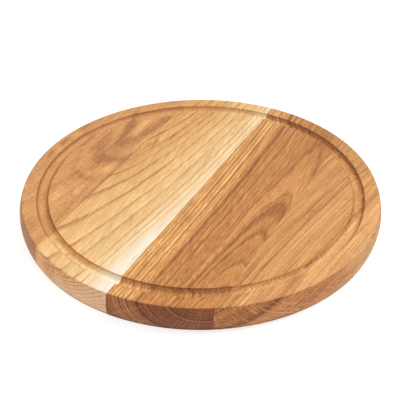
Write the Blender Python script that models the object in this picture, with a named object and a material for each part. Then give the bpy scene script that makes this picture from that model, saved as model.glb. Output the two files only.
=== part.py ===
"""Round cutting board with a juice groove: four oak staves glued edge to edge, then turned to a disc.

Metres, +Z up. The origin is the centre of the underside. The staves run along Y and lie side by side along X.
Each stave and each film of glue starts as a rough plank or a slice of the panel. The turned form, which has the
board's bulging rim and its groove, is then taken as what is left of every one of them, so that the groove and
the rim run through all the joints as they do on the real board.
"""

import math

import bmesh
import bpy

# The turned board
BOARD_DIAMETER = 0.300  # at half the thickness, where the rim bulges most
BOARD_THICKNESS = 0.021
RIM_BULGE = 0.0024  # how far the middle of the rim stands out past where it would meet the flats
EDGE_RADIUS = 0.0010  # the corners that sanding leaves where the rim meets the flats

# The juice groove, cut into the working side with a round-nosed bit
GROOVE_INSET = 0.0192  # from the outside of the rim to the middle of the groove
GROOVE_BIT_RADIUS = 0.0050
GROOVE_DEPTH = 0.0034
GROOVE_LIP_RADIUS = 0.0005  # the corners that sanding leaves where the groove meets the flat

# The glued panel
STAVE_WIDTH = 0.07675  # from one glue line to the next
MIDDLE_JOINT_X = 0.0003  # the panel was turned a little off the middle of its centre joint
GLUE_THICKNESS = 0.00012
BOND_CLEARANCE = 0.00002  # on each side of a film of glue

# What the rough planks lose
PLANING_ALLOWANCE = 0.002  # on each face
TRIM_ALLOWANCE = 0.006  # past the rim

# How finely the round shapes are cut
TURN_STEPS = 120
RIM_STEPS = 8
EDGE_STEPS = 3
GROOVE_STEPS = 10
LIP_STEPS = 3

# What the parts are made of: colour, then roughness
DARK_OAK = (0.46, 0.225, 0.085), 0.55
PALE_OAK = (0.72, 0.46, 0.22), 0.55
AMBER_OAK = (0.47, 0.215, 0.075), 0.55
TAN_OAK = (0.55, 0.29, 0.12), 0.55
DRIED_GLUE = (0.42, 0.23, 0.10), 0.45

BOARD_RADIUS = BOARD_DIAMETER / 2
GROOVE_RADIUS = BOARD_RADIUS - GROOVE_INSET


def clear_scene():
    for obj in list(bpy.data.objects):
        bpy.data.objects.remove(obj)


def arc(centre, radius, start, end, steps):
    """Points on an arc in the profile's plane, both ends included; angles are in degrees, 0 outwards and 90 up."""
    middle_r, middle_z = centre
    angles = [math.radians(start + (end - start) * step / steps) for step in range(steps + 1)]
    return [(middle_r + radius * math.cos(a), middle_z + radius * math.sin(a)) for a in angles]


def groove_profile():
    """The groove's cove and its two softened lips, from the middle of the board outwards.

    The bit's centre stays above the surface by what the depth leaves of its radius. A lip is an arc that touches
    the flat and the cove, so its centre is a lip radius under the flat, and both radii away from the bit's centre.
    """
    bit_height = GROOVE_BIT_RADIUS - GROOVE_DEPTH
    lip_drop = bit_height + GROOVE_LIP_RADIUS
    centre_distance = GROOVE_BIT_RADIUS + GROOVE_LIP_RADIUS
    lip_offset = math.sqrt(centre_distance**2 - lip_drop**2)
    wall_angle = math.degrees(math.asin(lip_drop / centre_distance))
    lip_z = BOARD_THICKNESS - GROOVE_LIP_RADIUS
    inner_lip = (GROOVE_RADIUS - lip_offset, lip_z)
    outer_lip = (GROOVE_RADIUS + lip_offset, lip_z)
    bit = (GROOVE_RADIUS, BOARD_THICKNESS + bit_height)
    cove = arc(bit, GROOVE_BIT_RADIUS, 180 + wall_angle, 360 - wall_angle, GROOVE_STEPS)
    return [
        *arc(inner_lip, GROOVE_LIP_RADIUS, 90, wall_angle, LIP_STEPS),
        *cove[1:-1],
        *arc(outer_lip, GROOVE_LIP_RADIUS, 180 - wall_angle, 90, LIP_STEPS),
    ]


def rim_profile():
    """The bulging rim between its two sanded edges, from the top down.

    The bulge is one wide arc whose chord is as long as the board is thick and whose height is RIM_BULGE. A sanded
    edge is a small arc that touches a flat and the wide arc from within, so its centre lies an edge radius from
    the flat and both radii's difference from the wide arc's centre.
    """
    half = BOARD_THICKNESS / 2
    rim_radius = (half**2 + RIM_BULGE**2) / (2 * RIM_BULGE)
    rim_centre = BOARD_RADIUS - rim_radius
    edge_rise = half - EDGE_RADIUS
    centre_distance = rim_radius - EDGE_RADIUS
    edge_centre = rim_centre + math.sqrt(centre_distance**2 - edge_rise**2)
    meeting_angle = math.degrees(math.asin(edge_rise / centre_distance))
    bulge = arc((rim_centre, half), rim_radius, meeting_angle, -meeting_angle, RIM_STEPS)
    return [
        *arc((edge_centre, half + edge_rise), EDGE_RADIUS, 90, meeting_angle, EDGE_STEPS),
        *bulge[1:-1],
        *arc((edge_centre, half - edge_rise), EDGE_RADIUS, -meeting_angle, -90, EDGE_STEPS),
    ]


def turned_form():
    """The whole board as one turned shape. It only guides the cuts, so it isn't a part of the board itself."""
    mesh = bpy.data.meshes.new("turned_form")
    shape = bmesh.new()
    profile = [shape.verts.new((r, 0, z)) for r, z in groove_profile() + rim_profile()]
    line = [shape.edges.new(pair) for pair in zip(profile, profile[1:])]
    bmesh.ops.spin(
        shape,
        geom=profile + line,
        cent=(0, 0, 0),
        axis=(0, 0, 1),
        angle=math.tau,
        steps=TURN_STEPS,
        use_merge=True,
    )
    for face in shape.faces:
        face.smooth = True
    open_edges = [edge for edge in shape.edges if edge.is_boundary]
    bmesh.ops.holes_fill(shape, edges=open_edges, sides=0)  # the flat field on top and the flat underside
    bmesh.ops.recalc_face_normals(shape, faces=shape.faces)
    shape.to_mesh(mesh)
    shape.free()
    form = bpy.data.objects.new("turned_form", mesh)
    form.hide_render = True
    form.display_type = "WIRE"
    bpy.context.scene.collection.objects.link(form)
    return form


def material(name, finish):
    colour, roughness = finish
    made = bpy.data.materials.new(name)
    made.use_nodes = True
    shader = made.node_tree.nodes["Principled BSDF"]
    shader.inputs["Base Color"].default_value = (*colour, 1)
    shader.inputs["Roughness"].default_value = roughness
    shader.inputs["Metallic"].default_value = 0
    made.diffuse_color = (*colour, 1)
    return made


def turned_piece(name, left, right, finish, form, board):
    """A piece of the panel from x = left to x = right, as a rough plank that is planed and turned to the form."""
    length = BOARD_DIAMETER + 2 * TRIM_ALLOWANCE
    height = BOARD_THICKNESS + 2 * PLANING_ALLOWANCE
    plank = bmesh.new()
    bmesh.ops.create_cube(plank, size=1)
    bmesh.ops.scale(plank, vec=(right - left, length, height), verts=plank.verts)
    bmesh.ops.translate(plank, vec=(0, 0, BOARD_THICKNESS / 2), verts=plank.verts)
    mesh = bpy.data.meshes.new(name)
    plank.to_mesh(mesh)
    plank.free()
    mesh.materials.append(material(name, finish))
    piece = bpy.data.objects.new(name, mesh)
    piece.location.x = (left + right) / 2
    piece.parent = board
    bpy.context.scene.collection.objects.link(piece)
    turning = piece.modifiers.new("turned to the form", "BOOLEAN")
    turning.operation = "INTERSECT"
    turning.object = form
    return piece


def main():
    clear_scene()
    form = turned_form()
    board = bpy.data.objects.new("board", None)
    bpy.context.scene.collection.objects.link(board)

    left_joint = MIDDLE_JOINT_X - STAVE_WIDTH
    right_joint = MIDDLE_JOINT_X + STAVE_WIDTH
    past_rim = BOARD_RADIUS + TRIM_ALLOWANCE
    seat = GLUE_THICKNESS / 2 + BOND_CLEARANCE  # from the middle of a joint to the stave beside it

    staves = {
        "left_outer_stave": (-past_rim, left_joint - seat, DARK_OAK),
        "left_inner_stave": (left_joint + seat, MIDDLE_JOINT_X - seat, PALE_OAK),
        "right_inner_stave": (MIDDLE_JOINT_X + seat, right_joint - seat, AMBER_OAK),
        "right_outer_stave": (right_joint + seat, past_rim, TAN_OAK),
    }
    for name, (left, right, finish) in staves.items():
        turned_piece(name, left, right, finish, form, board)

    glue_lines = {
        "left_glue_line": left_joint,
        "middle_glue_line": MIDDLE_JOINT_X,
        "right_glue_line": right_joint,
    }
    for name, joint in glue_lines.items():
        half = GLUE_THICKNESS / 2
        turned_piece(name, joint - half, joint + half, DRIED_GLUE, form, board)


main()
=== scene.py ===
"""The looks of a round oak cutting board: four staves glued edge to edge, a juice groove and a bulging rim.

Metres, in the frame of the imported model: the origin is the centre of the underside, +Z is up, the staves run
along Y. Every stave is sawn from its own log. A point in the wood is known by where it lay in that log: how
far from the pith, how far round it and how far up the trunk. Growth rings, pores and rays are laid out in
those log coordinates, so the figure on the working side, in the groove and on the end grain is one and the
same wood.
"""

import math
from dataclasses import dataclass

import bmesh
import bpy
import numpy as np
from mathutils import Matrix, Vector


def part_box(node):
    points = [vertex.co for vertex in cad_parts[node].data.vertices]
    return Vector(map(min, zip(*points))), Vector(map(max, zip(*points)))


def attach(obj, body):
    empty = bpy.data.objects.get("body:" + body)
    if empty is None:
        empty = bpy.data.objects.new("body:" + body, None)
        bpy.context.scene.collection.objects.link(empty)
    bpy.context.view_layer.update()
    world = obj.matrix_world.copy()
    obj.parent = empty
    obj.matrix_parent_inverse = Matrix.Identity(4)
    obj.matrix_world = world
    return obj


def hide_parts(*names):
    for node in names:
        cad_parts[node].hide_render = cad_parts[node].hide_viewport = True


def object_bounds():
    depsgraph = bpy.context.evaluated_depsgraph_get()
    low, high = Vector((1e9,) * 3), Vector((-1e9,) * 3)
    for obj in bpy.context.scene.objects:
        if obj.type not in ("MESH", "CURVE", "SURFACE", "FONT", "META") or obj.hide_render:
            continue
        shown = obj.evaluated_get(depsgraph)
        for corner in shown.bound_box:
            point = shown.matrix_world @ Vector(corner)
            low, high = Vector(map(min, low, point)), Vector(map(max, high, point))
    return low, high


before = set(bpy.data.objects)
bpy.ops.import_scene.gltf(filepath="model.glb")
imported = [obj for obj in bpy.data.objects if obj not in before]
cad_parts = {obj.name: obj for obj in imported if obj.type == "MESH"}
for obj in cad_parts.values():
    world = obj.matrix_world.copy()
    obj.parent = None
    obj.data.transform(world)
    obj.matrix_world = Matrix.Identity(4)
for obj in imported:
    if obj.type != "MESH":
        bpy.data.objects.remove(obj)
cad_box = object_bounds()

MM = 0.001

# The turned board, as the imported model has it
BOARD_RADIUS = cad_box[1].x
THICKNESS = cad_box[1].z
SIDES = ("left", "middle", "right")
JOINTS = [sum(corner.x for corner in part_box(f"{side}_glue_line")) / 2 for side in SIDES]
GLUE_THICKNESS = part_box("middle_glue_line")[1].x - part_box("middle_glue_line")[0].x
BOND_CLEARANCE = 0.02 * MM  # on each side of a film of glue

# The rim and the groove
RIM_BULGE = 2.4 * MM
EDGE_RADIUS = 1.0 * MM
GROOVE_RADIUS = BOARD_RADIUS - 19.2 * MM
GROOVE_BIT_RADIUS = 5.0 * MM
GROOVE_DEPTH = 3.4 * MM
GROOVE_LIP_RADIUS = 0.5 * MM
SLOPE_MIDDLE = 2.5 * MM  # from the groove's middle to the middle of each slope
SLOPE_FADE = 2.2 * MM

# How finely the surfaces are laid out
ALONG_STEP = 1.5 * MM
ACROSS_STEP = 1.0 * MM
ROUND_STEP = 1.3 * MM
EDGE_STEPS = 5
BULGE_STEPS = 18
LIP_STEPS = 5
COVE_STEPS = 22
LAND_STEPS = 8
SAME_POINT = 0.001 * MM  # points closer together than this are one
SHARP_ANGLE = math.radians(35)

# Each log's first listed ring has this number, so that the rings inside it have numbers above 0 as well
FIRST_RING = 40


@dataclass
class Log:
    """Where a stave lay in its tree, the tree's growth rings and the patches of its figure.

    The pith is a bowed line that runs mostly along the stave: its place across and above the board is
    middle + lean * y + bow * y * y, in metres. A bulge is a place where the rings stand out further, or lie
    further in where its height is negative. Strokes are patches that are darker, because the face runs along
    a ring there, or lighter where their depth is negative.
    """

    pith_x: tuple  # middle, lean and bow
    pith_z: tuple  # middle, lean and bow
    squash: float  # how many times wider than high the rings are
    rings: tuple  # the radii at which the spring wood starts, in metres
    usual_width: float  # the width of the rings inside and outside of those, in metres
    strokes: tuple = ()  # x, y of one end, x, y of the other, half the width, all in millimetres, and depth
    bulge: tuple = (0, 0, 1, 1, 0)  # x, y, half the width, half the length and height, all in millimetres


LOGS = {
    "left_outer_stave": Log(
        pith_x=(-0.0939, 0.0423, -0.364),
        pith_z=(0.1009, 0.0030, -0.265),
        squash=1.0,
        rings=(0.0766, 0.0799, 0.0832),
        usual_width=3.3 * MM,
        strokes=((-79, 88, -84, 60, 4.6, 0.95), (-84, 58, -93, 29, 4.2, 0.9), (-111, 82, -103, 60, 5.5, 0.9),
                 (-103, 58, -95, 27, 4.6, 0.85), (-113, 36, -109, 22, 7.5, 0.65),
                 (-108, 14, -99, -2, 6.5, 0.8), (-97, 0, -78, 9, 5.5, 0.85), (-120, 4, -112, -24, 3.5, 0.35),
                 (-108, -30, -105, -46, 3.5, 0.4), (-104, -27, -92, -33, 5.0, 0.65),
                 (-78, 20, -78, -62, 1.4, 0.9), (-127, 30, -125, 12, 3.5, 0.6), (-94, 72, -92, 48, 3.6, -0.9),
                 (-79, 44, -80, 30, 2.6, -0.9), (-84, -10, -92, -22, 5.5, -1.0),
                 (-87, -36, -88, -52, 4.5, -0.7), (-104, -46, -101, -68, 5.0, -0.8),
                 (-142, 5, -142, 15, 3.0, 0.8), (-141, 34, -139, 42, 3.0, 0.8),
                 (-142, -9, -141, -17, 3.0, 0.7), (-139, 20, -138, 27, 2.5, -0.9),
                 (-138, -2, -138, -8, 2.5, -0.9),
                 (-126, -18, -119, -44, 1.8, 1.3), (-108, 90, -120, 55, 9.0, -0.3),
                 (-86, 100, -88, 92, 6.0, -0.3)),
    ),
    "left_inner_stave": Log(
        pith_x=(-0.0992, -0.1008, -0.153),
        pith_z=(0.1333, -0.0971, -0.092),
        squash=1.148,
        rings=(0.1299, 0.1325, 0.1354, 0.1396, 0.1446, 0.1490, 0.1540, 0.1571, 0.1598),
        usual_width=3.6 * MM,
        strokes=((-68, 47, -68, 45, 1.6, 1.2), (-74, 62, -67, 38, 3.2, 0.5), (-72, 40, -76, 18, 2.8, 0.7),
                 (-56, 108, -60, 54, 2.0, 0.6), (-69, 98, -72, 72, 2.2, 0.4), (-46, 118, -50, 72, 2.5, 0.35),
                 (-60, -138, -52, -141, 4.0, 0.45), (-14, 112, -12, 60, 5.0, -0.4)),
        bulge=(-5, -110, 12, 60, -2.5),
    ),
    "right_inner_stave": Log(
        pith_x=(0.0698, -0.0486, -0.049),
        pith_z=(0.0544, 0.0476, -0.161),
        squash=1.158,
        rings=(0.0337, 0.0365, 0.0392, 0.0425, 0.0455, 0.0484, 0.0511, 0.0548, 0.0584, 0.0612, 0.0655,
               0.0684, 0.0716, 0.0742, 0.0772),
        usual_width=2.8 * MM,
        strokes=((2, -120, 2, 40, 2.0, -0.5),),
        bulge=(50, -5, 7, 32, 1.3),
    ),
    "right_outer_stave": Log(
        pith_x=(0.0803, 0.1416, 0.154),
        pith_z=(0.0542, -0.0005, -0.111),
        squash=1.05,
        rings=(0.0340, 0.0364, 0.0386, 0.0425),
        usual_width=3.0 * MM,
    ),
}


def log_coordinates(points, log):
    """Distance from the pith, distance round it and distance along it, for an array of points.

    The pith is the quadratic curve of the log. Across it, a point's offsets are (x - pith) and squash times
    (z - pith), and their length is the radius, less height * exp(-(dx / width)**2 - (dy / length)**2) for the
    bulge. Round the pith, the angle is turned into an arc on a ring of the mean radius, so that all three
    coordinates are metres.
    """
    x, y, z = points.T
    pith_x = log.pith_x[0] + log.pith_x[1] * y + log.pith_x[2] * y * y
    pith_z = log.pith_z[0] + log.pith_z[1] * y + log.pith_z[2] * y * y
    across = x - pith_x
    down = (pith_z - z) * log.squash
    mean_radius = (log.rings[0] + log.rings[-1]) / 2
    arc = np.arctan2(across, down) * mean_radius
    bulge_x, bulge_y, width, length, height = log.bulge
    bulge = height * np.exp(-(((x / MM - bulge_x) / width) ** 2) - ((y / MM - bulge_y) / length) ** 2)
    return np.stack((np.hypot(across, down) - bulge * MM, arc, y), -1)


def stroke_depth(x, y, log):
    """How dark the strokes make each place: the sum of depth * exp(-(distance / width)**2) over the strokes.

    The distance is to the nearest point of the straight line between the stroke's two ends.
    """
    total = np.zeros_like(x)
    for start_x, start_y, end_x, end_y, width, depth in log.strokes:
        run_x = end_x - start_x
        run_y = end_y - start_y
        along = ((x / MM - start_x) * run_x + (y / MM - start_y) * run_y) / (run_x**2 + run_y**2)
        along = np.clip(along, 0, 1)
        distance = np.hypot(x / MM - start_x - along * run_x, y / MM - start_y - along * run_y)
        total += depth * np.exp(-((distance / width) ** 2))
    return total


def ring_count(radius, log):
    """The number of the ring at each radius, a whole number where the spring wood of a ring starts."""
    rings = np.array(log.rings)
    inner = np.maximum(rings[0] - radius, 0) / log.usual_width
    outer = np.maximum(radius - rings[-1], 0) / log.usual_width
    return FIRST_RING + np.interp(radius, rings, np.arange(len(rings))) + outer - inner


def arc_points(centre_r, centre_z, radius, start, end, steps):
    """Points of an arc in the turned outline, evenly spaced; angles are in degrees, 0 outwards and 90 up."""
    angles = np.radians(np.linspace(start, end, steps + 1))
    return np.stack((centre_r + radius * np.cos(angles), centre_z + radius * np.sin(angles)), -1)


def groove_and_land():
    """The outline as (radius, height) from the groove's inner lip across the groove and the land to the rim.

    The cove is an arc of the bit, whose centre is above the surface by what the depth leaves of its radius.
    Each lip is an arc that touches the flat and the cove, so its centre is a lip radius under the flat and
    both radii away from the bit's centre.
    """
    bit_height = GROOVE_BIT_RADIUS - GROOVE_DEPTH
    drop = bit_height + GROOVE_LIP_RADIUS
    reach = GROOVE_BIT_RADIUS + GROOVE_LIP_RADIUS
    offset = math.sqrt(reach**2 - drop**2)
    wall = math.degrees(math.asin(drop / reach))
    lip_z = THICKNESS - GROOVE_LIP_RADIUS
    bit_z = THICKNESS + bit_height
    inner = arc_points(GROOVE_RADIUS - offset, lip_z, GROOVE_LIP_RADIUS, 90, wall, LIP_STEPS)
    cove = arc_points(GROOVE_RADIUS, bit_z, GROOVE_BIT_RADIUS, 180 + wall, 360 - wall, COVE_STEPS)
    outer = arc_points(GROOVE_RADIUS + offset, lip_z, GROOVE_LIP_RADIUS, 180 - wall, 90, LIP_STEPS)
    land_r = np.linspace(GROOVE_RADIUS + offset, rim()[0, 0], LAND_STEPS + 1)[1:]
    land = np.stack((land_r, np.full_like(land_r, THICKNESS)), -1)
    return np.concatenate((inner, cove[1:-1], outer, land))


def rim():
    """The outline as (radius, height) from the top's edge over the bulging rim to the underside's edge.

    The bulge is an arc whose chord is the thickness and whose height is RIM_BULGE. A sanded edge is an arc
    that touches a flat and the bulge from within, so its centre lies an edge radius from the flat, and both
    radii's difference from the bulge's centre.
    """
    half = THICKNESS / 2
    rim_radius = (half**2 + RIM_BULGE**2) / (2 * RIM_BULGE)
    rim_centre = BOARD_RADIUS - rim_radius
    rise = half - EDGE_RADIUS
    reach = rim_radius - EDGE_RADIUS
    edge_centre = rim_centre + math.sqrt(reach**2 - rise**2)
    turn = math.degrees(math.asin(rise / reach))
    top = arc_points(edge_centre, half + rise, EDGE_RADIUS, 90, turn, EDGE_STEPS)
    bulge = arc_points(rim_centre, half, rim_radius, turn, -turn, BULGE_STEPS)
    bottom = arc_points(edge_centre, half - rise, EDGE_RADIUS, -turn, -90, EDGE_STEPS)
    return np.concatenate((top, bulge[1:-1], bottom))


def grid_quads(columns, rows, start):
    """Corner numbers of a grid's faces, for points that are numbered from start on, column by column."""
    corner = start + np.arange(columns - 1)[:, None] * rows + np.arange(rows - 1)[None, :]
    corner = corner.ravel()
    return np.stack((corner, corner + rows, corner + rows + 1, corner + 1), -1)


def joined(name, grids):
    """One closed mesh from grids of points, each columns by rows by 3, sewn where their edges meet."""
    points = np.concatenate([grid.reshape(-1, 3) for grid in grids])
    faces = []
    start = 0
    for grid in grids:
        faces.append(grid_quads(grid.shape[0], grid.shape[1], start))
        start += grid.shape[0] * grid.shape[1]
    mesh = bpy.data.meshes.new(name)
    mesh.from_pydata(points.tolist(), [], np.concatenate(faces).tolist())
    shape = bmesh.new()
    shape.from_mesh(mesh)
    bmesh.ops.remove_doubles(shape, verts=shape.verts, dist=SAME_POINT)
    bmesh.ops.dissolve_degenerate(shape, edges=shape.edges, dist=SAME_POINT / 10)
    bmesh.ops.recalc_face_normals(shape, faces=shape.faces)
    shape.to_mesh(mesh)
    shape.free()
    mesh.shade_smooth()
    mesh.set_sharp_from_angle(angle=SHARP_ANGLE)
    piece = bpy.data.objects.new(name, mesh)
    bpy.context.scene.collection.objects.link(piece)
    return piece


def plane_between(top, bottom, near_wall, far_wall):
    """A flat glued face: straight lines from the top edge to the bottom edge, closed by the two walls."""
    share = np.linspace(0, 1, len(near_wall))[None, :, None]
    face = top[:, None] * (1 - share) + bottom[:, None] * share
    face[0] = near_wall
    face[-1] = far_wall
    return face


def middle_piece(name, left, right):
    """A stave or a film of glue that crosses the board from rim to rim.

    The section at x is the turned outline: a point of it with radius r lies at
    y = share * sqrt(r * r - x * x), with share -1 on the near side, 1 on the far side, and in between on the
    flat field and the flat underside.
    """
    outline = groove_and_land()
    bottom_r = rim()[-1, 0]
    wall = rim()[1:-1]
    inner_r = outline[0, 0]
    field = np.linspace(-1, 1, round(2 * inner_r / ALONG_STEP) + 1)[1:-1]
    flat = np.full_like(field, inner_r)
    top_share = np.concatenate((-np.ones(len(outline)), field, np.ones(len(outline))))
    top_r = np.concatenate((outline[::-1, 0], flat, outline[:, 0]))
    top_z = np.concatenate((outline[::-1, 1], np.full_like(field, THICKNESS), outline[:, 1]))
    bottom_share = np.linspace(-1, 1, len(top_share))

    columns = max(2, round((right - left) / ACROSS_STEP) + 1)
    x = np.linspace(left, right, columns)[:, None]

    def lay(share, r, z):
        """Points at these shares, radii and heights, for every x."""
        y = share * np.sqrt(np.maximum(r * r - x * x, 0))
        return np.stack((np.broadcast_to(x, y.shape), y, np.broadcast_to(z, y.shape)), -1)

    top = lay(top_share, top_r, top_z)
    bottom = lay(bottom_share, np.full_like(bottom_share, bottom_r), np.zeros_like(bottom_share))
    near_wall = np.concatenate((top[:, :1], lay(-1, wall[:, 0], wall[:, 1]), bottom[:, :1]), 1)
    far_wall = np.concatenate((top[:, -1:], lay(1, wall[:, 0], wall[:, 1]), bottom[:, -1:]), 1)
    faces = [plane_between(top[end], bottom[end], near_wall[end], far_wall[end]) for end in (0, -1)]
    return joined(name, [top, bottom, near_wall, far_wall, *faces])


def outer_piece(name, joint, side):
    """An outer stave, from its joint to the rim.

    It is laid out by turning: a point of the outline with radius r lies at the angle share * acos(joint / r)
    from the stave's own side, with share from -1 to 1. The flat field and the flat underside are drawn from
    there straight to the joint.
    """
    reach = abs(joint)
    outline = groove_and_land()
    bottom_r = rim()[-1, 0]
    wall = rim()[1:-1]
    half_turn = math.acos(reach / BOARD_RADIUS)
    share = np.linspace(-1, 1, round(2 * half_turn * BOARD_RADIUS / ROUND_STEP) + 1)[:, None]

    def lay(r, z):
        """Points at these radii and heights, for every share."""
        angle = share * np.arccos(reach / r)
        return np.stack((r * np.cos(angle), r * np.sin(angle), np.broadcast_to(z, angle.shape)), -1)

    def to_joint(edge, steps):
        """Straight from the points of an arc to the joint, at the same y."""
        t = np.linspace(0, 1, steps + 1)[None, :, None]
        at_joint = edge[:, None].copy()
        at_joint[..., 0] = reach
        return edge[:, None] * (1 - t) + at_joint * t

    turned = lay(outline[:, 0], outline[:, 1])
    bottom = lay(np.array([bottom_r]), np.zeros(1))
    side_wall = np.concatenate((turned[:, -1:], lay(wall[:, 0], wall[:, 1]), bottom), 1)
    field = to_joint(turned[:, 0], round((outline[0, 0] - reach) / ACROSS_STEP))
    underside = to_joint(side_wall[:, -1], round((bottom_r - reach) / ACROSS_STEP))

    top_edge = np.concatenate((turned[0, :0:-1], field[:, -1], turned[-1, 1:]))
    ends = len(outline) - 1
    bottom_edge = np.pad(underside[:, -1], ((ends, ends), (0, 0)), mode="edge")
    glued = plane_between(top_edge, bottom_edge, side_wall[0], side_wall[-1])
    grids = [turned, side_wall, field, underside, glued]
    return joined(name, [grid * (side, side, 1) for grid in grids])


class Finish:
    """One material's nodes, laid and joined as they are asked for."""

    def __init__(self, name):
        self.material = bpy.data.materials.new(name)
        self.material.use_nodes = True
        self.tree = self.material.node_tree
        self.shader = self.tree.nodes["Principled BSDF"]

    def put(self, socket, value):
        """Joins a node's output to a socket, or sets the socket to a plain value."""
        if isinstance(value, bpy.types.NodeSocket):
            self.tree.links.new(value, socket)
        else:
            socket.default_value = value

    def node(self, kind, inputs, **settings):
        made = self.tree.nodes.new(kind)
        for name, value in settings.items():
            setattr(made, name, value)
        for socket, value in inputs.items():
            self.put(made.inputs[socket], value)
        return made

    def attribute(self, name, output="Fac"):
        return self.node("ShaderNodeAttribute", {}, attribute_name=name).outputs[output]

    def parts(self, vector):
        """The three parts of a vector."""
        return self.node("ShaderNodeSeparateXYZ", {0: vector}).outputs

    def maths(self, operation, *values):
        return self.node("ShaderNodeMath", dict(enumerate(values)), operation=operation).outputs[0]

    def product(self, *factors):
        result = factors[0]
        for factor in factors[1:]:
            result = self.maths("MULTIPLY", result, factor)
        return result

    def swung(self, value, reach, base):
        """The base, plus reach times how far the value is above a half."""
        return self.maths("MULTIPLY_ADD", self.maths("SUBTRACT", value, 0.5), reach, base)

    def grown(self, share, full):
        """A multiplier: 1 where share is 0, and full where it is 1."""
        return self.maths("MULTIPLY_ADD", share, full - 1, 1.0)

    def between(self, value, low, high, to_low=0.0, to_high=1.0, smooth=True):
        """Carries low..high over to to_low..to_high, and holds it there outside."""
        made = self.node(
            "ShaderNodeMapRange",
            {0: value, 1: low, 2: high, 3: to_low, 4: to_high},
            interpolation_type="SMOOTHSTEP" if smooth else "LINEAR",
        )
        return made.outputs[0]

    def noise(self, place, sizes, detail=1, roughness=0.5):
        """Soft noise from 0 to 1. The place is in metres, and the sizes of its pattern are in millimetres."""
        scale = [1 / (size * MM) for size in sizes]
        stretched = self.node("ShaderNodeVectorMath", {0: place, 1: scale}, operation="MULTIPLY")
        made = self.node(
            "ShaderNodeTexNoise",
            {"Vector": stretched.outputs[0], "Scale": 1.0, "Detail": detail, "Roughness": roughness},
        )
        return made.outputs[0]

    def noise_along(self, length, size, detail):
        """Soft noise from 0 to 1 that changes along one length only. Its pattern's size is in millimetres."""
        steps = self.maths("DIVIDE", length, size * MM)
        made = self.node(
            "ShaderNodeTexNoise", {"W": steps, "Scale": 1.0, "Detail": detail}, noise_dimensions="1D"
        )
        return made.outputs[0]

    def about_one(self, place, sizes, spread, detail=1):
        """A multiplier that varies about 1, by spread on average."""
        return self.swung(self.noise(place, sizes, detail), NOISE_GAIN * spread, 1.0)

    def curve(self, value, points):
        """Carries a value over along the straight lines between points, all of them from 0 to 1."""
        made = self.node("ShaderNodeFloatCurve", {1: value})
        line = made.mapping.curves[0]
        line.points[0].location = points[0]
        line.points[1].location = points[-1]
        for place in points[1:-1]:
            line.points.new(*place)
        for point in line.points:
            point.handle_type = "VECTOR"
        made.mapping.update()
        return made.outputs[0]

    def ramp(self, value, stops):
        made = self.node("ShaderNodeValToRGB", {0: value})
        elements = made.color_ramp.elements
        while len(elements) < len(stops):
            elements.new(1.0)
        for element, (place, colour) in zip(elements, stops):
            element.position = place
            element.color = (*colour, 1)
        return made.outputs[0]

    def mix(self, share, first, second, blend="MIX"):
        made = self.node("ShaderNodeMix", {}, data_type="RGBA", blend_type=blend, clamp_factor=True)
        for socket, value in ((0, share), (6, first), (7, second)):
            if isinstance(value, tuple):
                value = (*value, 1)
            self.put(made.inputs[socket], value)
        return made.outputs[2]

    def tinted(self, share, colour, tint):
        """The colour, multiplied by the tint as far as share says."""
        return self.mix(share, colour, tint, "MULTIPLY")


TOP_LIGHT = 1.27  # how bright the studio makes a level white surface
GLOSS_VEIL = 0.033  # what the gloss adds to the wood
LEFT_BY_FIGURE = 0.90  # what pores and lines leave of the wood's brightness on average
DARKEST = 0.004  # no colour is taken to be darker or lighter than these
LIGHTEST = 0.95


def seen(red, green, blue):
    """The wood's own colour, from how it looks, 0 to 255, lying level under the studio's light."""
    level = [((value / 255 + 0.055) / 1.055) ** 2.4 for value in (red, green, blue)]
    bare = [max(value - GLOSS_VEIL, DARKEST) / TOP_LIGHT / LEFT_BY_FIGURE for value in level]
    return tuple(min(value, LIGHTEST) for value in bare)


# Two distances from the pith, in millimetres, that no stave reaches
BEYOND = (200, 210)


@dataclass(kw_only=True)
class Oak:
    """How one stave's wood is coloured. Distances are from the pith, in millimetres."""

    shades: tuple  # distances, each with how light the wood is there, from 0 to 100
    colours: tuple  # from the darkest wood to the lightest, in even steps of that lightness
    line: tuple  # what the pores of the spring wood multiply the colour by
    strength: float  # how strongly the lines of spring wood show
    band: float  # how much of a ring such a line takes
    fade: tuple = BEYOND  # from the first to the second distance the lines fade on the face
    jag: float  # how far the rings stray from round, in millimetres
    streaks: float  # how much long fibres differ from one another
    ticks: float  # how much short fibres do
    bands: float  # how much broad bands of fibres do
    calm: tuple = BEYOND  # over these distances the fibres come to differ less, and the groove takes less painted shade
    ring_tones: float  # how much the rings differ from one another
    pores: float  # how dark single pores are
    scratches: float  # how much the sanding shows
    end: tuple  # what the tones are multiplied by on the end grain, which soaks up the oil
    end_plain: tuple  # a plain colour of the end grain
    end_even: float  # how far the end grain's tones are carried over to it
    end_contrast: float  # how much further the end grain's tones are parted
    end_lines: float  # how many times as strong the lines of spring wood are on the end grain
    rays: float  # how strongly the rays show on the end grain
    groove: tuple  # what the groove's steep walls and lips are multiplied by, where shade is painted on them
    painted_shade_and_soak: tuple  # how much painted shade the walls take, with the oil that their end grain soaks up: the inner wall near and far, then the outer wall near and far
    soak: float  # how much of that any end grain in the groove takes
    flecks: float = 0.0  # how strongly the rays show that the groove cuts across
    seed: float  # a number that gives the rings their own tones


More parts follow.
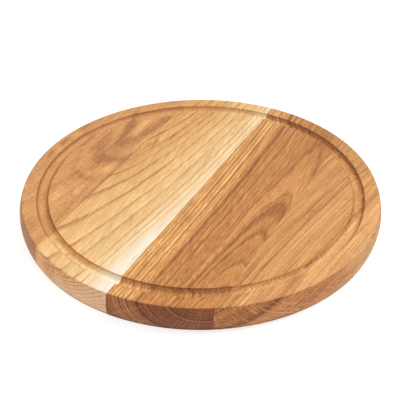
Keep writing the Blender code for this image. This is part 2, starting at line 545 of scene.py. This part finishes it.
OAKS = {
    "left_outer_stave": Oak(
        shades=((76, 60), (78.5, 66), (79.8, 54), (80.6, 67), (82, 55), (84, 62), (90, 58), (110, 60)),
        colours=(seen(172, 115, 73), seen(192, 135, 88), seen(210, 153, 102), seen(225, 169, 113),
                 seen(240, 185, 127)),
        line=(0.72, 0.62, 0.55),
        strength=0.25,
        band=0.30,
        jag=0.15,
        streaks=0.10,
        ticks=0.08,
        bands=0.025,
        ring_tones=0.0,
        pores=0.6,
        scratches=0.05,
        end=(0.74, 0.62, 0.68),
        end_plain=seen(180, 130, 100),
        end_even=0.3,
        end_contrast=0.6,
        end_lines=2.0,
        rays=0.7,
        groove=(0.62, 0.43, 0.24),
        painted_shade_and_soak=(1.1, 1.0, 1.3, 0.8),
        soak=0.2,
        seed=3.0,
    ),
    "left_inner_stave": Oak(
        shades=((118, 24), (129, 19), (132, 23), (135, 32), (139, 37), (141.5, 37), (143, 41), (145, 47),
                (148, 55), (153, 56), (154.5, 62), (157, 69), (158, 74), (161, 80), (163, 86), (164, 95),
                (165.5, 100), (172, 100)),
        colours=(seen(212, 154, 93), seen(229, 177, 115), seen(242, 199, 140), seen(250, 217, 168),
                 seen(255, 243, 222)),
        line=(0.70, 0.56, 0.42),
        strength=1.15,
        band=0.25,
        fade=(157, 163),
        jag=0.12,
        streaks=0.05,
        ticks=0.03,
        bands=0.07,
        calm=(156, 161),
        ring_tones=0.13,
        pores=0.25,
        scratches=0.015,
        end=(1.06, 0.77, 0.57),
        end_plain=seen(230, 176, 130),
        end_even=0.5,
        end_contrast=0.0,
        end_lines=1.7,
        rays=0.4,
        groove=(0.80, 0.50, 0.20),
        painted_shade_and_soak=(1.25, 1.1, 0.9, 0.5),
        soak=0.6,
        seed=11.0,
    ),
    "right_inner_stave": Oak(
        shades=((32, 48), (34.5, 42), (35.3, 36), (36.3, 48), (36.7, 14), (36.9, 14), (37.2, 46), (38.0, 48),
                (38.4, 16), (38.9, 8), (39.15, 10), (39.3, 60), (39.75, 64), (39.92, 18), (40.02, 20),
                (40.2, 58), (41.3, 56), (42.3, 34), (43.3, 42), (44.3, 32), (45.4, 58), (46.5, 35),
                (47.5, 38), (48.5, 48), (50.2, 46), (51, 20), (51.8, 45), (54, 47), (55.8, 35), (56.6, 42),
                (57.2, 26), (57.9, 11), (59, 11), (59.8, 38), (60.6, 55), (62.3, 75), (63.4, 55), (64.4, 75),
                (65.3, 60), (65.9, 30), (66.6, 60), (67.5, 100), (68.3, 80), (69.2, 62), (69.9, 78),
                (70.9, 60), (71.6, 40), (72.4, 60), (73.5, 80), (74.5, 62), (75.5, 86), (77, 68), (78.3, 60),
                (80, 66), (82, 52), (86, 42)),
        colours=(seen(170, 107, 68), seen(192, 130, 82), seen(212, 150, 93), seen(229, 171, 108),
                 seen(252, 203, 142)),
        line=(0.70, 0.60, 0.50),
        strength=1.0,
        band=0.26,
        jag=0.09,
        streaks=0.21,
        ticks=0.05,
        bands=0.045,
        ring_tones=0.05,
        pores=0.6,
        scratches=0.01,
        end=(0.56, 0.40, 0.43),
        end_plain=seen(142, 90, 66),
        end_even=0.1,
        end_contrast=0.6,
        end_lines=3.2,
        rays=0.22,
        groove=(0.48, 0.36, 0.33),
        painted_shade_and_soak=(0.8, 1.3, 0.6, 1.0),
        soak=0.75,
        flecks=0.25,
        seed=23.0,
    ),
    "right_outer_stave": Oak(
        shades=((31, 55), (34.8, 58), (35.6, 50), (36.3, 22), (36.8, 80), (37.5, 55), (38.3, 40), (38.8, 20),
                (39.3, 70), (39.8, 70), (41.3, 51), (42.3, 95), (43.3, 73), (45, 66), (46.5, 57), (49, 61),
                (52, 72), (53.5, 50), (55, 60), (56.3, 15), (57.3, 30), (58.3, 58), (59.5, 68), (61, 98),
                (63, 84), (64.5, 94), (66, 74), (68, 88), (70, 76), (72, 88), (74, 76), (76.5, 80), (78, 90),
                (84, 90)),
        colours=(seen(180, 122, 75), seen(197, 139, 87), seen(212, 154, 98), seen(226, 169, 111),
                 seen(241, 184, 121)),
        line=(0.76, 0.66, 0.56),
        strength=0.50,
        band=0.30,
        fade=(42, 47),
        jag=0.14,
        streaks=0.16,
        ticks=0.07,
        bands=0.05,
        ring_tones=0.03,
        pores=0.6,
        scratches=0.02,
        end=(0.71, 0.54, 0.51),
        end_plain=seen(160, 108, 74),
        end_even=0.0,
        end_contrast=0.7,
        end_lines=2.0,
        rays=1.0,
        groove=(0.58, 0.42, 0.32),
        painted_shade_and_soak=(0.15, 0.5, 0.2, 1.5),
        soak=0.4,
        flecks=0.7,
        seed=31.0,
    ),
}

# The sizes of the wood's patterns across the rings, round the pith and along the fibres, in millimetres
SWELLS = (14, 14, 34)
JAGS = (3, 2.4, 11)
FRAYS = (1.1, 1.1, 14)
DASHES = (0.5, 0.8, 7)
FADING_LINES = (25, 25, 40)
LONG_FIBRES = (0.8, 0.8, 50)
SHORT_FIBRES = (0.5, 0.5, 2.6)
BANDS = (2.4, 2.4, 90)
CLOUDS = (18, 18, 50)
SCRATCHES = (6, 6, 0.6)
PORES = (0.42, 0.42, 9)
RAYS = (28, 0.65, 9)
FLECK_GROUPS = (5, 5, 5)

# The sizes of the groove's marks along it, in millimetres
BIT_MARKS = 0.9
FLECK_WIDTH = 1.2

# The size of the glue's specks across, along and down the board, in millimetres
GLUE_SPECKS = (2, 6, 2)

RING_WIDTH = 3 * MM  # turns how far a ring strays into a part of a ring
NOISE_GAIN = 9  # soft noise strays from a half by roughly a ninth
CLOUDINESS = 0.03  # how much the clouds differ
FRAYING = 2.4  # how much noise the edges of the strokes take
MOST_CALM = 0.55  # how much of the fibres' differences is lost past calm

# Where the near part of the board turns into the far part
NEAR_ENDS = -50 * MM
FAR_STARTS = 30 * MM

# What the tones are multiplied by in the strokes of the figure and on the rim, with painted shade on the rim's
# right side and a painted contact shadow along its bottom
DARK_STROKE_TINT = (0.74, 0.65, 0.63)
LIGHT_STROKE_TINT = (1.22, 1.30, 1.34)
RIM_TINT = (0.86, 0.88, 0.92)
RIGHT_RIM_PAINTED_SHADE = (0.87, 0.85, 0.80)
BOTTOM_RIM_PAINTED_SHADOW = (0.56, 0.60, 0.64)

# How closely red, green and blue follow the fibres: blue most, so darker fibres are warmer
FIBRE_WARMTH = (0.75, 1.0, 1.3)

FLECK_COLOUR = seen(248, 208, 148)
OILED_ROUGHNESS = 0.52
OILED_GLOSS = 0.3
RELIEF_DEPTH = 0.15 * MM
RELIEF_STRENGTH = 0.35


class OakFinish(Finish):
    """Oiled oak: tones from the pith outwards, porous rings, fibres, rays and a darker, duller end grain.

    Every layer is laid over the colour that its method is given. Later layers use what earlier ones worked
    out, so they go on in the order that oak() has.
    """

    def __init__(self, name, look):
        super().__init__(name)
        self.look = look
        self.log = self.attribute("log", "Vector")
        self.strokes = self.attribute("strokes")
        self.routed = self.attribute("routed")
        self.around = self.attribute("around")
        self.flecked = self.attribute("flecked")
        radius, _, self.up_trunk = self.parts(self.log)

        # What faces along the fibres is end grain, except where the router has burnished it
        coordinates = self.node("ShaderNodeTexCoord", {})
        self.facing = self.parts(coordinates.outputs["Normal"])
        self.height = self.parts(coordinates.outputs["Object"])[2]
        self.along = self.maths("ABSOLUTE", self.facing[1])
        self.steepness = self.maths("ABSOLUTE", self.routed)
        self.in_groove = self.maths("GREATER_THAN", self.steepness, 0.0)
        self.off_groove = self.maths("SUBTRACT", 1.0, self.in_groove)
        self.end_grain = self.product(self.between(self.along, -0.1, 0.55), self.off_groove)

        # How far the rings stray from round: slow swells, and a finer jag along the fibres
        swell = self.noise(self.log, SWELLS, detail=2)
        jag = self.noise(self.log, JAGS, detail=2, roughness=0.6)
        stray = self.swung(swell, 6 * look.jag * MM, self.swung(jag, 4 * look.jag * MM, 0.0))
        self.radius = self.maths("ADD", radius, stray)
        sideways = self.maths("MULTIPLY", stray, 1.5)
        shift = self.node("ShaderNodeCombineXYZ", {0: sideways, 1: sideways}).outputs[0]
        wavy = self.node("ShaderNodeVectorMath", {0: self.log, 1: shift}, operation="ADD")
        self.wavy = wavy.outputs[0]

        # How far through its ring each point is, and a number from 0 to 1 that the whole ring shares
        counted = self.maths("MULTIPLY_ADD", stray, 1 / RING_WIDTH, self.attribute("rings"))
        self.through = self.maths("FRACT", counted)
        ring = self.maths("ADD", self.maths("FLOOR", counted), look.seed)
        one_ring = self.node("ShaderNodeTexWhiteNoise", {"W": ring}, noise_dimensions="1D")
        self.one_ring = one_ring.outputs["Value"]

        self.calm = self.between_distances(look.calm, 0.0, MOST_CALM)

    def between_distances(self, distances, inside, outside, smooth=True):
        """Goes from the inside to the outside value between two distances from the pith, in millimetres."""
        return self.between(self.radius, distances[0] * MM, distances[1] * MM, inside, outside, smooth)

    def near_to_far(self, near, far):
        """Goes from the near to the far value about the middle of the board's length."""
        return self.between(self.up_trunk, NEAR_ENDS, FAR_STARTS, near, far)

    def inner_to_outer(self, inner, outer):
        """Goes from the value on the groove's inner wall to the one on its outer wall."""
        return self.between(self.routed, -0.1, 0.1, inner, outer)

    def tones(self):
        """The tones from the pith outwards."""
        look = self.look
        low = look.shades[0][0]
        high = look.shades[-1][0]
        place = self.between_distances((low, high), 0.0, 1.0, smooth=False)
        points = [((distance - low) / (high - low), light / 100) for distance, light in look.shades]
        self.shade = self.curve(place, points)
        last = len(look.colours) - 1
        return self.ramp(self.shade, [(step / last, colour) for step, colour in enumerate(look.colours)])

    def with_strokes(self, tone):
        """The strokes of the figure, dark and light, frayed along the fibres."""
        fray = self.noise(self.log, FRAYS, detail=2, roughness=0.65)
        frayed = self.swung(fray, FRAYING, self.strokes)
        kinds = ((1.0, 0.30, 0.68, DARK_STROKE_TINT), (-1.0, 0.15, 0.95, LIGHT_STROKE_TINT))
        for sign, start, full, tint in kinds:
            depth = self.maths("MULTIPLY", frayed, sign)
            inside = self.maths("MULTIPLY", self.strokes, sign)
            share = self.product(self.between(depth, start, full), self.between(inside, 0.02, 0.25))
            tone = self.tinted(share, tone, tint)
        return tone

    def with_end_grain(self, tone):
        """The end grain, darker from the oil that it soaks up, and with its tones parted further."""
        look = self.look
        contrast = self.swung(self.shade, look.end_contrast, 1.0)
        soaked = self.tinted(1.0, tone, look.end)
        parted = self.node("ShaderNodeVectorMath", {0: soaked, "Scale": contrast}, operation="SCALE")
        return self.mix(self.end_grain, tone, self.mix(look.end_even, parted.outputs[0], look.end_plain))

    def with_rim(self, tone):
        """The rim: darker all over, with painted shade on its right side and a painted contact shadow low
        down.
        """
        upright = self.between(self.maths("ABSOLUTE", self.facing[2]), 0.8, 0.5)
        on_rim = self.product(upright, self.off_groove)
        # Painted shade on the side of the rim that faces right
        right = self.between(self.facing[0], 0.80, 0.97)
        # A painted contact shadow along the bottom of the rim
        bottom = self.between(self.height, 1.0 * MM, 4.5 * MM, 1.0, 0.0)
        tone = self.tinted(on_rim, tone, RIM_TINT)
        tone = self.tinted(self.product(on_rim, right), tone, RIGHT_RIM_PAINTED_SHADE)
        return self.tinted(self.product(on_rim, bottom), tone, BOTTOM_RIM_PAINTED_SHADOW)

    def with_spring_wood(self, tone):
        """The spring wood: it starts sharply at the ring, fades outwards, and its pores break it into dashes.

        Past the fade it shows at a fifth, except on the end grain, and in the groove it shows at a half.
        """
        look = self.look
        start = self.between(self.through, 0.94, 1.0)
        rest = self.between(self.through, 0.0, look.band, 1.0, 0.0)
        self.spring = self.maths("MAXIMUM", rest, start)
        self.dashes = self.between(self.noise(self.log, DASHES), 0.36, 0.60, 0.70, 1.0)
        lines = self.product(
            self.spring,
            self.dashes,
            self.maths("MAXIMUM", self.end_grain, self.between_distances(look.fade, 1.0, 0.2)),
            self.maths("MULTIPLY_ADD", self.one_ring, 1.1 * look.strength, 0.45 * look.strength),
            self.grown(self.end_grain, look.end_lines),
            self.between(self.noise(self.log, FADING_LINES), 0.38, 0.62, 0.6, 1.2),
            self.grown(self.in_groove, 0.5),
        )
        return self.tinted(lines, tone, look.line)

    def with_fibres(self, colour):
        """Fibres, long and short, in broad bands and clouds, and the fine scratches that sanding leaves.

        Each ring has its own tone as well, and grows lighter outwards.
        """
        look = self.look
        ring_part = self.maths("MULTIPLY_ADD", self.one_ring, 1.2, self.maths("ADD", self.through, -1.1))
        long_fibres = self.noise(self.wavy, LONG_FIBRES)
        fibres = self.product(
            self.between(long_fibres, 0.45, 0.55, 1 - look.streaks, 1 + look.streaks),
            self.about_one(self.log, SHORT_FIBRES, look.ticks, detail=0),
            self.about_one(self.wavy, BANDS, look.bands),
            self.about_one(self.log, CLOUDS, CLOUDINESS),
            self.about_one(self.log, SCRATCHES, look.scratches),
            self.maths("MULTIPLY_ADD", ring_part, look.ring_tones, 1.0),
        )
        fibres = self.maths("MULTIPLY_ADD", self.maths("SUBTRACT", 1.0, fibres), self.calm, fibres)
        warm = [self.maths("MULTIPLY_ADD", fibres, share, 1 - share) for share in FIBRE_WARMTH]
        tint = self.node("ShaderNodeCombineColor", dict(enumerate(warm))).outputs[0]
        return self.tinted(1.0, colour, tint)

    def with_pores(self, colour):
        """Single pores: short dark hairs, closer together in the spring wood."""
        edge = self.maths("MULTIPLY_ADD", self.spring, -0.08, 0.67)
        self.pores = self.maths("GREATER_THAN", self.noise(self.log, PORES), edge)
        return self.tinted(self.product(self.pores, self.look.pores), colour, self.look.line)

    def with_rays(self, colour, tone):
        """Rays: pale threads across the rings on the end grain, faint flecks elsewhere."""
        self.rays = self.between(self.noise(self.log, RAYS), 0.58, 0.64)
        share = self.product(self.rays, self.between(self.along, 0.35, 0.65, 0.12, self.look.rays))
        return self.mix(share, colour, self.mix(0.5, tone, self.look.colours[-1]))

    def with_painted_shade_and_soak(self, colour):
        """Darkening on the groove's steep walls and their lips: painted shade, set wall by wall near and far
        and broken up by the bit's marks, with the oil that its end grain soaks up.
        """
        look = self.look
        inner_near, inner_far, outer_near, outer_far = look.painted_shade_and_soak
        self.marks = self.noise_along(self.around, BIT_MARKS, detail=2)
        self.steep = self.between(self.steepness, self.near_to_far(0.40, 0.15), 1.05)
        cut_across = self.product(self.in_groove, self.between(self.along, 0.1, 0.5))
        # How much painted shade each wall takes, near and far
        wall = self.inner_to_outer(
            self.near_to_far(inner_near, inner_far), self.near_to_far(outer_near, outer_far)
        )
        painted_shade_and_soak = self.product(
            self.maths("MAXIMUM", self.steep, self.product(cut_across, look.soak)),
            self.between(self.marks, 0.38, 0.62, 0.45, 1.0),
            wall,
            self.grown(self.calm, 0.05),
        )
        # A painted dark line of shade along the lips
        painted_lip_shade = self.product(self.between(self.steepness, 0.80, 0.94), wall, self.inner_to_outer(0.5, 0.25))
        return self.tinted(painted_lip_shade, self.tinted(painted_shade_and_soak, colour, look.groove), look.groove)

    def with_flecks(self, colour):
        """Pale flecks on the groove's slopes, where the bit cut across rays."""
        threads = self.between(self.noise_along(self.around, FLECK_WIDTH, detail=1), 0.56, 0.64)
        groups = self.between(self.noise(self.log, FLECK_GROUPS), 0.45, 0.58)
        return self.mix(self.product(threads, groups, self.flecked, self.look.flecks), colour, FLECK_COLOUR)

    def complete(self, colour):
        """Gives the shader its colour, its gloss and the relief of pores, spring wood and the bit's marks."""
        self.put(self.shader.inputs["Base Color"], colour)

        roughness = OILED_ROUGHNESS
        for part, change in ((self.pores, 0.15), (self.end_grain, 0.10), (self.rays, -0.10)):
            roughness = self.maths("MULTIPLY_ADD", part, change, roughness)
        self.put(self.shader.inputs["Roughness"], roughness)
        self.shader.inputs["Specular IOR Level"].default_value = OILED_GLOSS

        relief = self.maths("MULTIPLY", self.dashes, 0.1)
        torn = self.product(self.steep, self.marks)
        for part, rise in ((self.pores, -0.6), (self.spring, -0.3), (torn, 1.5)):
            relief = self.maths("MULTIPLY_ADD", part, rise, relief)
        bump = {"Height": relief, "Strength": RELIEF_STRENGTH, "Distance": RELIEF_DEPTH}
        self.put(self.shader.inputs["Normal"], self.node("ShaderNodeBump", bump).outputs[0])


def oak(name, look):
    """A stave's material, layer over layer."""
    finish = OakFinish(name, look)
    tone = finish.tones()
    tone = finish.with_strokes(tone)
    tone = finish.with_end_grain(tone)
    tone = finish.with_rim(tone)
    colour = finish.with_spring_wood(tone)
    colour = finish.with_fibres(colour)
    colour = finish.with_pores(colour)
    colour = finish.with_rays(colour, tone)
    colour = finish.with_painted_shade_and_soak(colour)
    colour = finish.with_flecks(colour)
    finish.complete(colour)
    return finish.material


def dried_glue():
    """A hairline of wood glue: amber brown, a little glossier than the wood, with darker specks along it."""
    finish = Finish("dried_glue")
    place = finish.node("ShaderNodeTexCoord", {}).outputs["Object"]
    specks = finish.noise(place, GLUE_SPECKS, detail=3)
    colour = finish.ramp(specks, [(0.3, seen(120, 72, 40)), (0.7, seen(188, 130, 80))])
    finish.put(finish.shader.inputs["Base Color"], colour)
    finish.put(finish.shader.inputs["Roughness"], finish.between(specks, 0.3, 0.7, 0.35, 0.5))
    return finish.material


def give_pattern(piece, log):
    """Writes what the wood's pattern follows into the mesh, point by point.

    Log and rings are the log coordinates and the ring's number, and strokes is how dark the figure's strokes
    are. Routed is 0 outside the groove, and in it how steep the round-nosed bit left the wood: the distance
    outwards from the groove's middle over the bit's radius, negative on the inner wall. Flecked is 1 on the
    groove's two slopes and fades to either side. Around is the length along the rim, from the middle of the
    near, far, left or right side.
    """
    mesh = piece.data
    points = np.empty(len(mesh.vertices) * 3)
    mesh.vertices.foreach_get("co", points)
    points = points.reshape(-1, 3)
    x, y, z = points.T
    place = log_coordinates(points, log)
    outwards = np.hypot(x, y) - GROOVE_RADIUS
    upper_half = z > THICKNESS / 2
    in_groove = upper_half & (z < THICKNESS - SAME_POINT) & (np.abs(outwards) < 2 * GROOVE_BIT_RADIUS)
    off_slope = np.abs(np.abs(outwards) - SLOPE_MIDDLE) / SLOPE_FADE
    crosses_middle = np.abs(x).min() < BOARD_RADIUS / 3
    turn = np.arctan2(x, np.abs(y)) if crosses_middle else np.arctan2(y, np.abs(x))
    measures = {
        "rings": ring_count(place[:, 0], log),
        "strokes": stroke_depth(x, y, log),
        "routed": np.where(in_groove, np.clip(outwards / GROOVE_BIT_RADIUS, -1, 1), 0),
        "flecked": np.where(upper_half, np.clip(1.5 - off_slope, 0, 1), 0),
        "around": BOARD_RADIUS * turn,
    }
    mesh.attributes.new("log", "FLOAT_VECTOR", "POINT").data.foreach_set("vector", place.ravel())
    for name, values in measures.items():
        mesh.attributes.new(name, "FLOAT", "POINT").data.foreach_set("value", values)


def make_staves():
    seat = GLUE_THICKNESS / 2 + BOND_CLEARANCE
    left, middle, right = JOINTS
    staves = {
        "left_outer_stave": outer_piece("left_outer_board", left - seat, -1),
        "left_inner_stave": middle_piece("left_inner_board", left + seat, middle - seat),
        "right_inner_stave": middle_piece("right_inner_board", middle + seat, right - seat),
        "right_outer_stave": outer_piece("right_outer_board", right + seat, 1),
    }
    slots = {
        "left_outer_stave": "dark_oak",
        "left_inner_stave": "pale_oak",
        "right_inner_stave": "amber_oak",
        "right_outer_stave": "tan_oak",
    }
    for node, piece in staves.items():
        give_pattern(piece, LOGS[node])
        piece.data.materials.append(oak(slots[node], OAKS[node]))
        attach(piece, "root")
        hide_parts(node)


def make_glue_lines():
    material = dried_glue()
    half = GLUE_THICKNESS / 2
    for side, joint in zip(SIDES, JOINTS):
        piece = middle_piece(f"{side}_glue_film", joint - half, joint + half)
        piece.data.materials.append(material)
        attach(piece, "root")
        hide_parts(f"{side}_glue_line")


# The studio: a white dome all round, a softbox that stands over the board's far right, a small one at its
# near left that fills in, and a floor that glows evenly, as an underlit table does
DOME_LEVEL = 0.60
FILL_LEVEL = 0.10
KEY_LEVEL = TOP_LIGHT - DOME_LEVEL - FILL_LEVEL
KEY_AZIMUTH = math.radians(58)
KEY_REACH = 2.5
KEY_RISE = 1.25  # how many times as high as it is far
KEY_SIZE = 2.2
FILL_PLACE = Vector((-0.34, -0.42, 0.5))
FILL_SIZE = 0.3
FLOOR_REACH = 4
FLOOR_GREY = 0.56
FLOOR_GLOW = 0.65
WHITE = (1, 1, 1, 1)

# Where the camera stands, its lens, and how far it looks down, to the side and askew
AZIMUTH = math.radians(27.52)
ELEVATION = math.radians(36.45)
DISTANCE = 0.7911
LENS = 84.055  # in millimetres, as the sensor
SENSOR = 36.0
PITCH = math.radians(35.94)
YAW = math.radians(-0.038)
ROLL = math.radians(-0.235)

AWAY = Vector((-math.sin(AZIMUTH), math.cos(AZIMUTH), 0))
RIGHT = Vector((math.cos(AZIMUTH), math.sin(AZIMUTH), 0))
UP = Vector((0, 0, 1))


def make_camera():
    data = bpy.data.cameras.new("camera")
    data.lens = LENS
    data.sensor_width = SENSOR
    data.clip_start = 0.01
    data.clip_end = 100
    camera = bpy.data.objects.new("camera", data)
    forward = math.cos(PITCH) * (math.sin(YAW) * RIGHT + math.cos(YAW) * AWAY) - math.sin(PITCH) * UP
    level = math.cos(YAW) * RIGHT - math.sin(YAW) * AWAY
    upward = level.cross(forward)
    side = math.cos(ROLL) * level + math.sin(ROLL) * upward
    top = math.cos(ROLL) * upward - math.sin(ROLL) * level
    turn = Matrix((side, top, -forward)).transposed().to_4x4()
    place = DISTANCE * (math.sin(ELEVATION) * UP - math.cos(ELEVATION) * AWAY)
    camera.matrix_world = Matrix.Translation(place) @ turn
    bpy.context.scene.collection.objects.link(camera)
    bpy.context.scene.camera = camera


def soft_light(name, place, size, level):
    """A square softbox that faces the board. Level is what it adds to a level white surface there."""
    data = bpy.data.lights.new(name, "AREA")
    data.size = size
    data.energy = level * math.pi**2 * place.length**3 / place.z
    lamp = bpy.data.objects.new(name, data)
    lamp.location = place
    lamp.rotation_euler = (-place).to_track_quat("-Z", "Y").to_euler()
    bpy.context.scene.collection.objects.link(lamp)


def make_floor():
    corners = [(x * FLOOR_REACH, y * FLOOR_REACH, 0) for x, y in ((-1, -1), (1, -1), (1, 1), (-1, 1))]
    mesh = bpy.data.meshes.new("floor")
    mesh.from_pydata(corners, [], [(0, 1, 2, 3)])
    floor = bpy.data.objects.new("floor", mesh)
    finish = Finish("pale_floor")
    settings = {
        "Base Color": (FLOOR_GREY, FLOOR_GREY, FLOOR_GREY, 1),
        "Roughness": 0.9,
        "Specular IOR Level": 0.1,
        "Emission Color": WHITE,
        "Emission Strength": FLOOR_GLOW,
    }
    for socket, value in settings.items():
        finish.shader.inputs[socket].default_value = value
    mesh.materials.append(finish.material)
    bpy.context.scene.collection.objects.link(floor)


def make_studio():
    world = bpy.data.worlds.new("studio")
    world.use_nodes = True
    background = world.node_tree.nodes["Background"]
    background.inputs["Color"].default_value = WHITE
    background.inputs["Strength"].default_value = DOME_LEVEL
    bpy.context.scene.world = world
    key_place = KEY_REACH * Vector((math.cos(KEY_AZIMUTH), math.sin(KEY_AZIMUTH), KEY_RISE))
    soft_light("key_softbox", key_place, KEY_SIZE, KEY_LEVEL)
    soft_light("fill_softbox", FILL_PLACE, FILL_SIZE, FILL_LEVEL)
    make_floor()

    view = bpy.context.scene.view_settings
    view.view_transform = "Standard"
    view.look = "None"


make_camera()
make_studio()
make_staves()
make_glue_lines()
